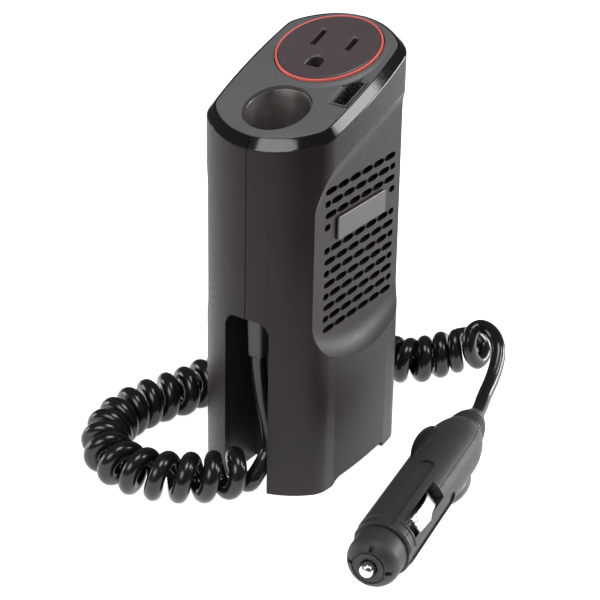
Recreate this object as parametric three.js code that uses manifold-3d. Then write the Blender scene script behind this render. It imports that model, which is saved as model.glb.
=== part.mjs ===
// Pocket power inverter with a sloping outlet deck, a 12 V socket, a charging port and a coiled vehicle lead.
// Millimetres, +Z up. The origin is on the surface it stands on, under the middle of the case.
// +X is the side with the blank badge, -Y is the narrow front that holds the lead bay.
import * as THREE from "three";
import { mergeVertices } from "three/addons/utils/BufferGeometryUtils.js";
import Module from "manifold-3d";

const wasm = await Module();
wasm.setup();

// ---- driving dimensions ----
const GAP = 0.3; // clearance between separate pieces

const HALF_WIDTH = 25.25; // case, across X
const HALF_LENGTH = 35.2; // case, along Y at the base
const END_TAPER = 0.0115; // each end leans in by this much for each millimetre of height
const SIDE_RADIUS = 190; // slight bow of the long sides
const END_RADIUS = 30; // round of the narrow ends
const CORNER_RADIUS = 9;
const WALL = 2.4;
const FLOOR = 6; // height of the inside floor

const SLOPE = THREE.MathUtils.degToRad(19.4); // the deck falls towards the front
const DECK_Z = 138.1; // deck surface at Y = 0
const DECK_INSET = 2.8; // deck edge, in from the case outline
const DECK_THICKNESS = 2.4;
const CHAMFER_DROP = 2.9; // height of the polished chamfer round the deck
const LEDGE = 1.2; // the deck plate rests on this much of the wall's top

const PANEL_X = 20.8; // face of the sunk side panels
const SLOT = { length: 6.3, width: 2, pitchY: 7.1, pitchZ: 4.064, rows: 13, topZ: 108.4, middleY: 1.2 };
const BADGE = { y: 1.2, z: 94.1, length: 29, height: 8, thickness: 0.8 };

const OUTLET = { radius: 17.9, rise: 1.4, ringWidth: 0.8, blockRadius: 13.8, depth: 15 };
const SOCKET = { v: -31.8, holeRadius: 11.3, barrelRadius: 10.6, barrelWall: 0.5, depth: 41 };
const USB = { x: 17.9, v: -17.3, width: 5.7, length: 13.1, depth: 13 };

const BAY = { halfWidth: 8.65, top: 64.2, back: -15.2, wall: 1.2, cornerRadius: 5 };
const GLAND = { y: -26.5, width: 6.2, bottom: 48 };
const CORD_RADIUS = 2.7;
const COIL_RADIUS = 8.7; // outside of the coiled lead

const PLUG = {
  rear: [49.9, 36.2, 11], // back end of its strain relief
  heading: [0.172, -0.985, 0], // from there to the tip
  springAngle: 49.5, // degrees from straight up to the side contact
  radius: 10.2,
  reliefLength: 14,
  shoulderLength: 14,
  bodyEnd: 91,
  capEnd: 102,
  tipEnd: 104.6,
};

// ---- materials ----
function finish(color, roughness, metalness = 0) {
  return new THREE.MeshStandardMaterial({ color, roughness, metalness });
}
const SHELL = finish(0x3c3738, 0.6);
const DECK = finish(0x67676a, 0.55);
const FACE = finish(0x4b4144, 0.45);
const RING = finish(0xd75f5a, 0.4);
const BLACK = finish(0x0c0c0d, 0.5);
const CORD = finish(0x0a0a0b, 0.2);
const PLUG_PLASTIC = finish(0x46444a, 0.5);
const BRIGHT = finish(0xd8d8d6, 0.25, 1);
const BRASS = finish(0xb88a3c, 0.35, 1);
const BOARD = finish(0x1f5a35, 0.6);
const ALUMINIUM = finish(0xa8abae, 0.4, 1);
const FERRITE = finish(0x2c2c2e, 0.7);
const TAPE = finish(0xc9a53a, 0.5);
const CAN = finish(0x232a4a, 0.35);
const STEEL = finish(0x6f7174, 0.4, 1);
const GLASS = finish(0xc8d2d6, 0.1);

// ---- solids ----
function solid(geometry) {
  const bare = geometry.index ? geometry.toNonIndexed() : geometry.clone();
  bare.deleteAttribute("normal");
  bare.deleteAttribute("uv");
  const merged = mergeVertices(bare, 1e-4);
  const mesh = new wasm.Mesh({
    numProp: 3,
    vertProperties: merged.attributes.position.array,
    triVerts: new Uint32Array(merged.index.array),
  });
  return new wasm.Manifold(mesh);
}

function geometryOf(body) {
  const mesh = body.getMesh();
  const geometry = new THREE.BufferGeometry();
  geometry.setAttribute("position", new THREE.BufferAttribute(mesh.vertProperties, 3));
  geometry.setIndex(new THREE.BufferAttribute(mesh.triVerts, 1));
  geometry.computeVertexNormals();
  return geometry;
}

const join = (bodies) => bodies.reduce((sum, body) => sum.add(body));
const cut = (body, tools) => tools.reduce((rest, tool) => rest.subtract(tool), body);

function block(x0, x1, y0, y1, z0, z1) {
  const box = new THREE.BoxGeometry(x1 - x0, y1 - y0, z1 - z0);
  return solid(box.translate((x0 + x1) / 2, (y0 + y1) / 2, (z0 + z1) / 2));
}

// Solid of revolution about Z from [radius, height] pairs that start and end on the axis.
function turned(profile, sides = 32) {
  const points = profile.map(([r, z]) => new THREE.Vector2(r, z));
  return new THREE.LatheGeometry(points, sides).rotateX(Math.PI / 2);
}

const rod = (radius, z0, z1, sides = 32) => turned([[0, z0], [radius, z0], [radius, z1], [0, z1]], sides);

// Ring of rectangular section about Z.
function hoop(inner, outer, z0, z1, sides = 40) {
  return turned([[inner, z0], [outer, z0], [outer, z1], [inner, z1], [inner, z0]], sides);
}

// Arcs are drawn with twice as many chords as curveSegments says.
function roundedRectangle(width, height, radius) {
  const shape = new THREE.Shape();
  const [a, b] = [width / 2 - radius, height / 2 - radius];
  shape.absarc(a, b, radius, 0, Math.PI / 2);
  shape.absarc(-a, b, radius, Math.PI / 2, Math.PI);
  shape.absarc(-a, -b, radius, Math.PI, Math.PI * 1.5);
  shape.absarc(a, -b, radius, Math.PI * 1.5, Math.PI * 2);
  return shape;
}

const prism = (shape, depth, curveSegments = 5) =>
  new THREE.ExtrudeGeometry(shape, { depth, bevelEnabled: false, curveSegments });

// ---- case outline ----
// Bowed sides and round ends, blended by corner arcs that touch both.
function caseOutline(inset, halfLength = HALF_LENGTH) {
  const [side, end, corner] = [SIDE_RADIUS, END_RADIUS, CORNER_RADIUS];
  const sideCentre = side - HALF_WIDTH;
  const endCentre = halfLength - end;
  // Corner centre: (side - corner) from the side's centre and (end - corner) from the end's.
  const base = Math.hypot(sideCentre, endCentre);
  const [p, q] = [side - corner, end - corner];
  const along = (p * p - q * q + base * base) / (2 * base);
  const off = Math.sqrt(p * p - along * along);
  const turn = Math.atan2(endCentre, sideCentre) + Math.atan2(off, along);
  const [cx, cy] = [-sideCentre + p * Math.cos(turn), p * Math.sin(turn)];
  const sideAngle = Math.atan2(cy, cx + sideCentre);
  const endAngle = Math.atan2(cy - endCentre, cx);
  const shape = new THREE.Shape();
  shape.absarc(-sideCentre, 0, side - inset, -sideAngle, sideAngle);
  shape.absarc(cx, cy, corner - inset, sideAngle, endAngle);
  shape.absarc(0, endCentre, end - inset, endAngle, Math.PI - endAngle);
  shape.absarc(-cx, cy, corner - inset, Math.PI - endAngle, Math.PI - sideAngle);
  shape.absarc(sideCentre, 0, side - inset, Math.PI - sideAngle, Math.PI + sideAngle);
  shape.absarc(-cx, -cy, corner - inset, Math.PI + sideAngle, Math.PI + endAngle);
  shape.absarc(0, -endCentre, end - inset, Math.PI + endAngle, 2 * Math.PI - endAngle);
  shape.absarc(cx, -cy, corner - inset, -endAngle, -sideAngle);
  return shape;
}

// Prism of the case outline whose ends lean in and whose top, and base too where it is sloped,
// is parallel to the deck. Heights are those at Y = 0.
function casePrism(inset, z0, z1, { chamfer = 0, slopedBase = false } = {}) {
  const options = { depth: z1 - z0, bevelEnabled: false, curveSegments: 3 };
  if (chamfer) {
    options.depth = z1 - z0 - 2 * CHAMFER_DROP;
    options.bevelEnabled = true;
    options.bevelThickness = CHAMFER_DROP;
    options.bevelSize = chamfer;
    options.bevelOffset = -chamfer;
    options.bevelSegments = 1;
  }
  const geometry = new THREE.ExtrudeGeometry(caseOutline(inset), options);
  geometry.translate(0, 0, chamfer ? z0 + CHAMFER_DROP : z0);
  return solid(leanAndSlope(geometry, slopedBase ? z0 - 1 : (z0 + z1) / 2));
}

function leanAndSlope(geometry, slopedAbove) {
  const at = geometry.attributes.position;
  for (let i = 0; i < at.count; i++) {
    const sloped = at.getZ(i) > slopedAbove;
    const z = at.getZ(i) + (sloped ? at.getY(i) * Math.tan(SLOPE) : 0);
    at.setY(i, at.getY(i) * (1 - (END_TAPER * Math.max(z, 0)) / HALF_LENGTH));
    at.setZ(i, z);
  }
  return geometry;
}

// ---- scene graph ----
const inverter = new THREE.Group();
// Origin at the middle of the outlet's face, own z square to the deck, own y (called v) up the slope.
const deck = new THREE.Group();
const OUTLET_Y = 12.34;
deck.position.set(0, OUTLET_Y, DECK_Z + OUTLET_Y * Math.tan(SLOPE) + OUTLET.rise / Math.cos(SLOPE));
deck.rotation.x = SLOPE;
deck.updateMatrix();
inverter.add(deck);

const plug = new THREE.Group(); // its own z runs from the cord to the tip, its x points to a side contact
placePlug();
inverter.add(plug);

function placePlug() {
  const heading = new THREE.Vector3(...PLUG.heading).normalize();
  const up = new THREE.Vector3(0, 0, 1);
  const across = new THREE.Vector3().crossVectors(up, heading);
  const angle = THREE.MathUtils.degToRad(PLUG.springAngle);
  const toSpring = up.clone().multiplyScalar(Math.cos(angle)).addScaledVector(across, Math.sin(angle));
  const toWing = new THREE.Vector3().crossVectors(heading, toSpring);
  plug.matrix.makeBasis(toSpring, toWing, heading).setPosition(...PLUG.rear);
  plug.matrix.decompose(plug.position, plug.quaternion, plug.scale);
}

function add(name, material, body, parent = inverter) {
  const geometry = body.isBufferGeometry ? body : geometryOf(body);
  const mesh = new THREE.Mesh(geometry, material);
  mesh.name = name;
  parent.add(mesh);
}

const onDeck = (geometry) => solid(geometry.applyMatrix4(deck.matrix));

// ---- case shells ----
// The deck's seat, cut square to the deck.
function deckShape(inset) {
  const shape = caseOutline(inset, HALF_LENGTH - END_TAPER * DECK_Z);
  const points = shape.getPoints(3).map((p) => new THREE.Vector2(p.x, (p.y - OUTLET_Y) / Math.cos(SLOPE)));
  return new THREE.Shape(points);
}

// Hollow between a side panel's face and the outline of the case, widening outwards.
function panelHollow() {
  const shape = new THREE.Shape();
  const [front, back] = [-40, 40];
  const topAt = (y) => 124.5 + 0.27 * y;
  shape.moveTo(front, 100);
  shape.lineTo(front, 60);
  shape.lineTo(-28, 58);
  shape.quadraticCurveTo(1.5, 32.5, 31, 58);
  shape.lineTo(back, 60);
  shape.lineTo(back, topAt(back));
  shape.lineTo(-14, topAt(-14));
  shape.quadraticCurveTo(-29, topAt(-29), -31, 100);
  const depth = 8;
  const geometry = new THREE.ExtrudeGeometry(shape, {
    depth,
    bevelEnabled: true,
    bevelThickness: HALF_WIDTH - PANEL_X,
    bevelSize: 5,
    bevelOffset: -5,
    bevelSegments: 1,
    curveSegments: 8,
  });
  geometry.rotateX(Math.PI / 2).rotateZ(Math.PI / 2);
  return solid(geometry.translate(HALF_WIDTH, 0, 0));
}

// Staggered vent slots with pointed ends, kept clear of the badge when there is one.
function ventSlots(badge) {
  const slots = [];
  for (let row = 0; row < SLOT.rows; row++) {
    const z = SLOT.topZ - row * SLOT.pitchZ;
    const full = row % 2 === 0;
    const count = full ? 6 : 7;
    for (let i = 0; i < count; i++) {
      const atEnd = !full && (i === 0 || i === count - 1);
      const length = atEnd ? SLOT.length / 2 : SLOT.length;
      const inward = atEnd ? (SLOT.length / 4) * Math.sign(count - 1 - 2 * i) : 0;
      const y = SLOT.middleY + (i - (count - 1) / 2) * SLOT.pitchY + inward;
      const behindBadge =
        Math.abs(z - BADGE.z) < BADGE.height / 2 + 1 && Math.abs(y - BADGE.y) < BADGE.length / 2 + length / 2;
      if (badge && behindBadge) continue;
      slots.push(ventSlot(y, z, length));
    }
  }
  return slots;
}

function ventSlot(y, z, length) {
  const [a, b] = [length / 2, SLOT.width / 2];
  const shape = new THREE.Shape();
  shape.moveTo(a, 0);
  shape.lineTo(a - b, b);
  shape.lineTo(b - a, b);
  shape.lineTo(-a, 0);
  shape.lineTo(b - a, -b);
  shape.lineTo(a - b, -b);
  const through = prism(shape, 2 * WALL).rotateX(Math.PI / 2).rotateZ(Math.PI / 2);
  return solid(through.translate(PANEL_X - 1.5 * WALL, y, z));
}

// Relief under the case, between the front foot and the back foot.
function footRelief() {
  const shape = new THREE.Shape();
  shape.moveTo(-18.7, -1);
  shape.quadraticCurveTo(-16.5, 2.6, -12.7, 2.6);
  shape.lineTo(14.7, 2.6);
  shape.lineTo(15.6, -1);
  const bar = prism(shape, 4 * HALF_WIDTH).rotateX(Math.PI / 2).rotateZ(Math.PI / 2);
  return solid(bar.translate(-2 * HALF_WIDTH, 0, 0));
}

// Mouth of the lead bay in the front wall, open at the foot.
function bayMouth() {
  const [w, r] = [BAY.halfWidth, BAY.cornerRadius];
  const shape = new THREE.Shape();
  shape.moveTo(w, -5);
  shape.lineTo(w, BAY.top - r);
  shape.absarc(w - r, BAY.top - r, r, 0, Math.PI / 2);
  shape.absarc(r - w, BAY.top - r, r, Math.PI / 2, Math.PI);
  shape.lineTo(-w, -5);
  return solid(prism(shape, 30).rotateX(Math.PI / 2).translate(0, -20, 0));
}

const SCREWS = [[-9.4, 12], [23, 12], [19.5, 114.8]]; // Y and Z of the case screws
const BOSS_RADIUS = 4.1;
const SCREW = { headRadius: 2.7, headHeight: 2.2, shankRadius: 1.3, length: 22 };

function caseShell(side) {
  const mirror = new THREE.Matrix4().makeScale(side, 1, 1);
  const sided = (body) => (side > 0 ? body : solid(flip(geometryOf(body).applyMatrix4(mirror))));
  const whole = casePrism(0, -20, DECK_Z, { chamfer: DECK_INSET }).intersect(block(-60, 60, -60, 60, 0, 200));
  const hollow = sided(panelHollow());
  const outer = whole.subtract(hollow);
  const upper = casePrism(WALL + LEDGE, DECK_Z - 8.5, DECK_Z - 1, { slopedBase: true });
  const [x0, x1] = side > 0 ? [-60, PANEL_X - WALL] : [WALL - PANEL_X, 60];
  const lower = casePrism(WALL, FLOOR, DECK_Z - 8).intersect(block(x0, x1, -60, 60, FLOOR, 200));
  const seat = onDeck(prism(deckShape(DECK_INSET - GAP), 20).translate(0, 0, -DECK_THICKNESS - OUTLET.rise));
  const half = side > 0 ? block(GAP / 2, 60, -60, 60, -5, 200) : block(-60, -GAP / 2, -60, 60, -5, 200);
  let shell = cut(outer, [upper, lower, seat, footRelief(), bayMouth()]).intersect(half);
  const inner = side > 0 ? [GAP, PANEL_X] : [-PANEL_X, -GAP];
  const posts = SCREWS.map(([y, z]) => alongX(rod(BOSS_RADIUS, inner[0], inner[1], 16), y, z));
  shell = join([shell, ...posts.map((post) => post.intersect(whole))]);
  const holes = SCREWS.map(([y, z]) => screwHole(side, y, z));
  const pocket = onDeck(usbPocket());
  return cut(shell, [...holes, ...ventSlots(side > 0).map(sided), pocket, baySpace()]);
}

function flip(geometry) {
  const index = geometry.index.array;
  for (let i = 0; i < index.length; i += 3) [index[i], index[i + 1]] = [index[i + 1], index[i]];
  return geometry;
}

const alongX = (geometry, y, z) => solid(geometry.rotateY(Math.PI / 2).translate(0, y, z));

// In the left shell a counterbored clearance hole, in the right shell a blind pilot hole.
function screwHole(side, y, z) {
  const shank = alongX(rod(SCREW.shankRadius + GAP, side > 0 ? -1 : -30, side > 0 ? 12 : 1, 12), y, z);
  if (side > 0) return shank;
  const face = screwSeat(z);
  return shank.add(alongX(rod(SCREW.headRadius + GAP, -30, face, 16), y, z));
}

// X of the underside of a screw's head.
const screwSeat = (z) => (z > 60 ? 3.4 - PANEL_X : 6 - HALF_WIDTH);

const usbPocket = () => new THREE.BoxGeometry(6.7, 14.4, 13.6).translate(USB.x, USB.v, -OUTLET.rise - 7.6);

// Room behind the bay mouth for the liner.
function baySpace() {
  const w = BAY.halfWidth + BAY.wall + GAP;
  return block(-w, w, -31.6, BAY.back + BAY.wall + GAP, -5, BAY.top + BAY.wall + GAP);
}

add("left_shell", SHELL, caseShell(-1));
add("right_shell", SHELL, caseShell(1));

SCREWS.forEach(([y, z], i) => {
  const seat = screwSeat(z) - GAP;
  const { headRadius, headHeight, shankRadius, length } = SCREW;
  const profile = [
    [0, -headHeight],
    [headRadius * 0.7, -headHeight],
    [headRadius, -headHeight * 0.6],
    [headRadius, 0],
    [shankRadius, 0],
    [shankRadius, length],
    [0, length + 1],
  ];
  add("case_screw_" + (i + 1), STEEL, alongX(turned(profile, 12).translate(0, 0, seat), y, z));
});

add(
  "badge_plate",
  FACE,
  prism(roundedRectangle(BADGE.length, BADGE.height, 0.8), BADGE.thickness, 2)
    .rotateX(Math.PI / 2)
    .rotateZ(Math.PI / 2)
    .translate(PANEL_X + GAP, BADGE.y, BADGE.z),
);

// ---- deck and what opens in it ----
const DECK_TOP = -OUTLET.rise;
const usbHole = () => new THREE.BoxGeometry(USB.width + 0.8, USB.length + 0.8, 20).translate(USB.x, USB.v, 0);
// Soft rim round the outlet, sunk a little into the deck.
const LIP = [[17.5, -0.6], [20.3, -0.6], [20.3, 0.1], [19.9, 0.5], [18.8, 0.7], [17.5, 0.7], [17.5, -0.6]];

const plateTools = [
  solid(rod(OUTLET.radius + GAP, -10, 10, 48)),
  solid(rod(SOCKET.holeRadius, -10, 10, 40).translate(0, SOCKET.v, 0)),
  solid(usbHole()),
];
const plateBlank = prism(deckShape(DECK_INSET), DECK_THICKNESS - GAP);
const plateSlab = solid(plateBlank.translate(0, 0, DECK_TOP - DECK_THICKNESS + GAP));
const plateLip = solid(turned(LIP, 48).translate(0, 0, DECK_TOP));
const plateLimit = solid(prism(deckShape(DECK_INSET + 0.3), 10).translate(0, 0, DECK_TOP - 1));
add("top_plate", DECK, cut(plateSlab.add(plateLip.intersect(plateLimit)), plateTools), deck);

const ringInner = OUTLET.radius - OUTLET.ringWidth;
add("outlet_ring", RING, hoop(ringInner, OUTLET.radius, DECK_TOP - 1.8, -0.15, 48), deck);

const HOT = { x: 6.35, v: 3.8, length: 6.6, width: 2 };
const NEUTRAL = { x: -6.35, v: 3.8, length: 8.2, width: 2 };
const GROUND = { v: -8.1, radius: 2.6 };
const SLOT_DEPTH = 12;

const bladeSlot = (slot) =>
  solid(new THREE.BoxGeometry(slot.width, slot.length, 2 * SLOT_DEPTH).translate(slot.x, slot.v, 0));

function groundHole(radius) {
  const shape = new THREE.Shape();
  shape.moveTo(-radius, -radius);
  shape.lineTo(radius, -radius);
  shape.absarc(0, 0, radius, 0, Math.PI);
  return solid(prism(shape, 2 * SLOT_DEPTH, 10).translate(0, GROUND.v, -SLOT_DEPTH));
}

const outletProfile = [
  [0, -OUTLET.depth],
  [OUTLET.blockRadius, -OUTLET.depth],
  [OUTLET.blockRadius, -4.4],
  [ringInner - GAP, -4.4],
  [ringInner - GAP, -0.5],
  [ringInner - GAP - 0.5, 0],
  [0, 0],
];
const outletBlank = solid(turned(outletProfile, 48));
const outletHoles = [bladeSlot(HOT), bladeSlot(NEUTRAL), groundHole(GROUND.radius)];
add("outlet_face", FACE, cut(outletBlank, outletHoles), deck);

// Contacts at the foot of the slots.
function contactLeaf(slot) {
  const foot = new THREE.BoxGeometry(slot.width - 2 * GAP, slot.length - 2, 4);
  return foot.translate(slot.x, slot.v, GAP + 2 - SLOT_DEPTH);
}
add("hot_contact", BRASS, contactLeaf(HOT), deck);
add("neutral_contact", BRASS, contactLeaf(NEUTRAL), deck);
add("ground_contact", BRASS, rod(1.6, 0, 4, 16).translate(0, GROUND.v, GAP - SLOT_DEPTH), deck);

const barrelOuter = SOCKET.barrelRadius + SOCKET.barrelWall;
const housingInner = barrelOuter + GAP;
const housingTop = DECK_TOP - DECK_THICKNESS;
const housingOuter = housingInner + 1.3;
const housingProfile = [
  [0, -SOCKET.depth - 3],
  [housingOuter, -SOCKET.depth - 3],
  [housingOuter, housingTop],
  [housingInner, housingTop],
  [housingInner, -SOCKET.depth - 1],
  [0, -SOCKET.depth - 1],
];
const atSocket = (geometry) => geometry.translate(0, SOCKET.v, 0);
add("dc_socket_housing", BLACK, atSocket(turned(housingProfile, 40)), deck);
const barrel = hoop(SOCKET.barrelRadius, barrelOuter, -SOCKET.depth, DECK_TOP - 1.3, 40);
add("dc_socket_barrel", BRIGHT, atSocket(barrel), deck);
const contactProfile = [[0, 0], [5.5, 0], [5.5, 1.5], [3, 1.5], [3, 4], [2, 5], [0, 5.3]];
const contact = turned(contactProfile, 20).translate(0, 0, GAP - SOCKET.depth - 1);
add("dc_socket_contact", BRASS, atSocket(contact), deck);

const USB_WALL = 0.5;
const usbBox = (shrink, depth) => new THREE.BoxGeometry(USB.width - shrink, USB.length - shrink, depth);
const usbTop = DECK_TOP - 0.5;
const usbMiddle = usbTop - USB.depth / 2;
const usbCan = solid(usbBox(0, USB.depth).translate(USB.x, USB.v, usbMiddle));
const usbInside = solid(usbBox(2 * USB_WALL, USB.depth).translate(USB.x, USB.v, usbMiddle + USB_WALL));
add("usb_shell", BRIGHT, usbCan.subtract(usbInside), deck);
const tongue = new THREE.BoxGeometry(1.9, 10.6, 8.6);
const tongueMiddle = usbTop - USB.depth + USB_WALL + GAP + 4.3;
add("usb_tongue", BLACK, tongue.translate(USB.x + 1.05, USB.v, tongueMiddle), deck);

// ---- lead bay ----
const linerOuter = BAY.halfWidth + BAY.wall;
const linerBody = block(-linerOuter, linerOuter, -31.3, BAY.back + BAY.wall, GAP, BAY.top + BAY.wall);
const linerSpace = block(-BAY.halfWidth, BAY.halfWidth, -60, BAY.back, -5, BAY.top);
function glandNeck(grow) {
  const half = 2 + grow;
  return block(-half, half, GLAND.y - half, GLAND.y + half, BAY.top - 1, BAY.top + 3);
}
add("cord_bay_liner", BLACK, cut(linerBody, [linerSpace, glandNeck(GAP)]));

function glandBlock() {
  const half = GLAND.width / 2;
  const body = prism(roundedRectangle(GLAND.width, GLAND.width, 1.4), BAY.top - GAP - GLAND.bottom, 2);
  const at = body.attributes.position;
  for (let i = 0; i < at.count; i++) {
    if (at.getZ(i) > 1) continue;
    at.setX(i, at.getX(i) * (1 - 0.3 / half));
    at.setY(i, at.getY(i) * (1 - 0.3 / half));
  }
  return solid(body.translate(0, GLAND.y, GLAND.bottom)).add(glandNeck(0));
}
add("cord_gland", BLACK, glandBlock());

// ---- the coiled lead ----
function path(points) {
  const stations = points.map((point) => new THREE.Vector3(...point));
  return new THREE.CatmullRomCurve3(stations, false, "centripetal");
}

function tube(points, radius, sides, steps) {
  const section = new THREE.Shape();
  section.absarc(0, 0, radius, 0, 2 * Math.PI);
  return new THREE.ExtrudeGeometry(new THREE.Shape(section.getPoints(sides / 2).slice(0, -1)), {
    steps,
    bevelEnabled: false,
    extrudePath: path(points),
  });
}

const COIL_Z = 8.8; // height of the coil's middle where it lies on the surface
const BAY_LEAD = [
  [0, GLAND.y, GLAND.bottom - GAP],
  [0.1, GLAND.y, 44],
  [0.8, -26.5, 37],
  [2.4, -26.7, 29],
  [4.4, -27, 21],
  [5.6, -27.8, 14.5],
  [5.5, -29.9, 10.7],
  [4.8, -32, 9.2],
  [3.8, -33.7, COIL_Z],
];
const COIL = [
  [3.4, -34.4, COIL_Z],
  [-0.7, -41.4, COIL_Z],
  [-5.6, -47.4, COIL_Z],
  [-11.5, -52.2, COIL_Z],
  [-17.4, -55.5, COIL_Z],
  [-24.1, -57.7, COIL_Z],
  [-32, -58.2, COIL_Z],
  [-39.9, -56.2, COIL_Z],
  [-46.6, -51.1, COIL_Z],
  [-51.3, -43.6, COIL_Z],
  [-53.7, -34.5, COIL_Z],
  [-53.4, -24.5, COIL_Z],
  [-51.1, -15.4, COIL_Z],
  [-47.4, -5.7, COIL_Z],
  [-44.6, 8.3, COIL_Z],
  [-41.6, 20.3, COIL_Z],
  [-36.6, 32.8, COIL_Z],
  [-28.8, 44.3, COIL_Z],
  [-18.6, 53.1, COIL_Z],
  [-6.4, 58.2, COIL_Z],
  [7.4, 61.4, COIL_Z + 0.1],
  [13, 65.4, COIL_Z + 1.1],
  [18.2, 69.7, COIL_Z + 2.8],
  [23.4, 72.5, COIL_Z + 5],
  [28.7, 74.6, COIL_Z + 7.4],
];
const TAIL_LEAD = [
  [30.5, 74.6, 24.5],
  [33.6, 74.3, 24.4],
  [37.6, 72.1, 23.4],
  [40.7, 68.8, 21.8],
  [42.4, 66, 19.6],
  [43.8, 61.8, 16.9],
  [45, 56.5, 14.3],
  [46.6, 48.7, 12.2],
  [48.5, 42.1, 11.2],
  [49.8, 36.8, 11],
];
add("bay_lead", CORD, tube(BAY_LEAD, CORD_RADIUS, 8, 8));
add("coiled_lead", CORD, tube(COIL, COIL_RADIUS, 12, 48));
add("tail_lead", CORD, tube(TAIL_LEAD, CORD_RADIUS, 8, 9));

// ---- vehicle plug, in its own axes ----
const { radius: plugRadius, reliefLength, shoulderLength, bodyEnd, capEnd, tipEnd } = PLUG;
const bodyStart = reliefLength + GAP;
const bodyRound = bodyStart + shoulderLength;

const reliefProfile = [[0, 0], [3.4, 0], [5, 5], [6.4, 11], [7, reliefLength], [0, reliefLength]];
add("plug_strain_relief", PLUG_PLASTIC, solid(turned(reliefProfile, 20)), plug);

function plugOutside() {
  const profile = [
    [0, bodyStart],
    [7.4, bodyStart],
    [8.9, bodyStart + 4],
    [10.1, bodyStart + 9],
    [plugRadius, bodyRound],
    [plugRadius, bodyEnd - 2],
    [plugRadius - 1, bodyEnd],
    [0, bodyEnd],
  ];
  const wings = [1, -1].map((way) => plugWing(way));
  const grooves = [45, 135, 225, 315].map((angle) => plugGroove(angle));
  return cut(join([solid(turned(profile, 32)), ...wings]), grooves);
}

// Finger wing: a fin that climbs from the body towards the cord and ends steeply.
function plugWing(way) {
  const shape = new THREE.Shape();
  shape.moveTo(26, 8);
  shape.quadraticCurveTo(28, 13, 34, 12.2);
  shape.quadraticCurveTo(42, 11.2, 48.5, 9);
  shape.lineTo(48.5, 8);
  const fin = prism(shape, 4.8, 6).translate(0, 0, -2.4);
  const turn = new THREE.Matrix4().makeBasis(
    new THREE.Vector3(0, 0, 1),
    new THREE.Vector3(0, way, 0),
    new THREE.Vector3(-way, 0, 0),
  );
  return solid(fin.applyMatrix4(turn));
}

// Flat-bottomed finger groove with round ends.
function plugGroove(angle) {
  const groove = prism(roundedRectangle(4.6, 41, 2.2), 4, 3).rotateX(-Math.PI / 2);
  const turn = THREE.MathUtils.degToRad(angle);
  return solid(groove.translate(0, plugRadius - 0.9, 71).rotateZ(turn));
}

// Rooms inside: the spring and fuse bore, a cord hole and the two side contact slots.
const BORE_RADIUS = 4.4;
const SIDE_SLOT = { start: 60, end: 86, width: 6.2, floor: 5.4 };
const plugRooms = [
  solid(rod(BORE_RADIUS, 55, bodyEnd + 5, 20)),
  ...[1, -1].map((way) => {
    const [near, far] = way > 0 ? [SIDE_SLOT.floor, 20] : [-20, -SIDE_SLOT.floor];
    return block(near, far, -SIDE_SLOT.width / 2, SIDE_SLOT.width / 2, SIDE_SLOT.start, SIDE_SLOT.end);
  }),
];
const plugBlank = cut(plugOutside(), plugRooms);
add("plug_half_left", PLUG_PLASTIC, plugBlank.intersect(block(-30, 30, GAP / 2, 30, 0, 200)), plug);
add("plug_half_right", PLUG_PLASTIC, plugBlank.intersect(block(-30, 30, -30, -GAP / 2, 0, 200)), plug);

const TIP_RADIUS = 2.3;
const capStart = bodyEnd + GAP;
const capProfile = [
  [TIP_RADIUS + GAP, capStart],
  [8.7, capStart],
  [8.7, capStart + 5],
  [8, capEnd - 2.6],
  [6.4, capEnd - 0.8],
  [4.6, capEnd - 0.3],
  [TIP_RADIUS + GAP, capEnd - 0.3],
  [TIP_RADIUS + GAP, capStart],
];
const capRoom = solid(rod(BORE_RADIUS, capStart - 1, capEnd - 4, 20));
add("plug_nose_cap", PLUG_PLASTIC, solid(turned(capProfile, 32)).subtract(capRoom), plug);

const TIP_TRAVEL = 3;
const tipFlange = capEnd - 4.3;
const tipProfile = [
  [0, tipFlange - 2],
  [3.6, tipFlange - 2],
  [3.6, tipFlange],
  [TIP_RADIUS, tipFlange],
  [TIP_RADIUS, tipEnd - 1],
  [TIP_RADIUS - 0.9, tipEnd],
  [0, tipEnd],
];
add("plug_tip", BRIGHT, turned(tipProfile, 20), plug);

const fuseStart = 56;
const fuseEnd = 80;
add("plug_fuse", GLASS, rod(3, fuseStart, fuseEnd, 16), plug);
const springEnd = tipFlange - 2 - TIP_TRAVEL - GAP;
add("plug_tip_spring", STEEL, hoop(2.4, 3.6, fuseEnd + GAP, springEnd, 16), plug);

// Side contact: a bent leaf that starts deep in its slot, swells out of it and folds back.
function sideContact(way) {
  const outer = [[61, 6.4], [66, 9.6], [73, 11.4], [78, 12.6], [84, 11.2]];
  const inner = outer.map(([z, x]) => [z, x - 0.8]).reverse();
  const shape = new THREE.Shape([...outer, ...inner].map(([z, x]) => new THREE.Vector2(z, x)));
  const leaf = prism(shape, 5.2).translate(0, 0, -2.6);
  const turn = new THREE.Matrix4().makeBasis(
    new THREE.Vector3(0, 0, 1),
    new THREE.Vector3(way, 0, 0),
    new THREE.Vector3(0, way, 0),
  );
  return solid(leaf.applyMatrix4(turn));
}
add("plug_side_contact_upper", BRIGHT, sideContact(1), plug);
add("plug_side_contact_lower", BRIGHT, sideContact(-1), plug);

// ---- inside the case ----
const BOARD_X = 15; // the face that carries the components
add("main_board", BOARD, block(BOARD_X, BOARD_X + 1.6, -5, 25.4, 17, 108));

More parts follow.
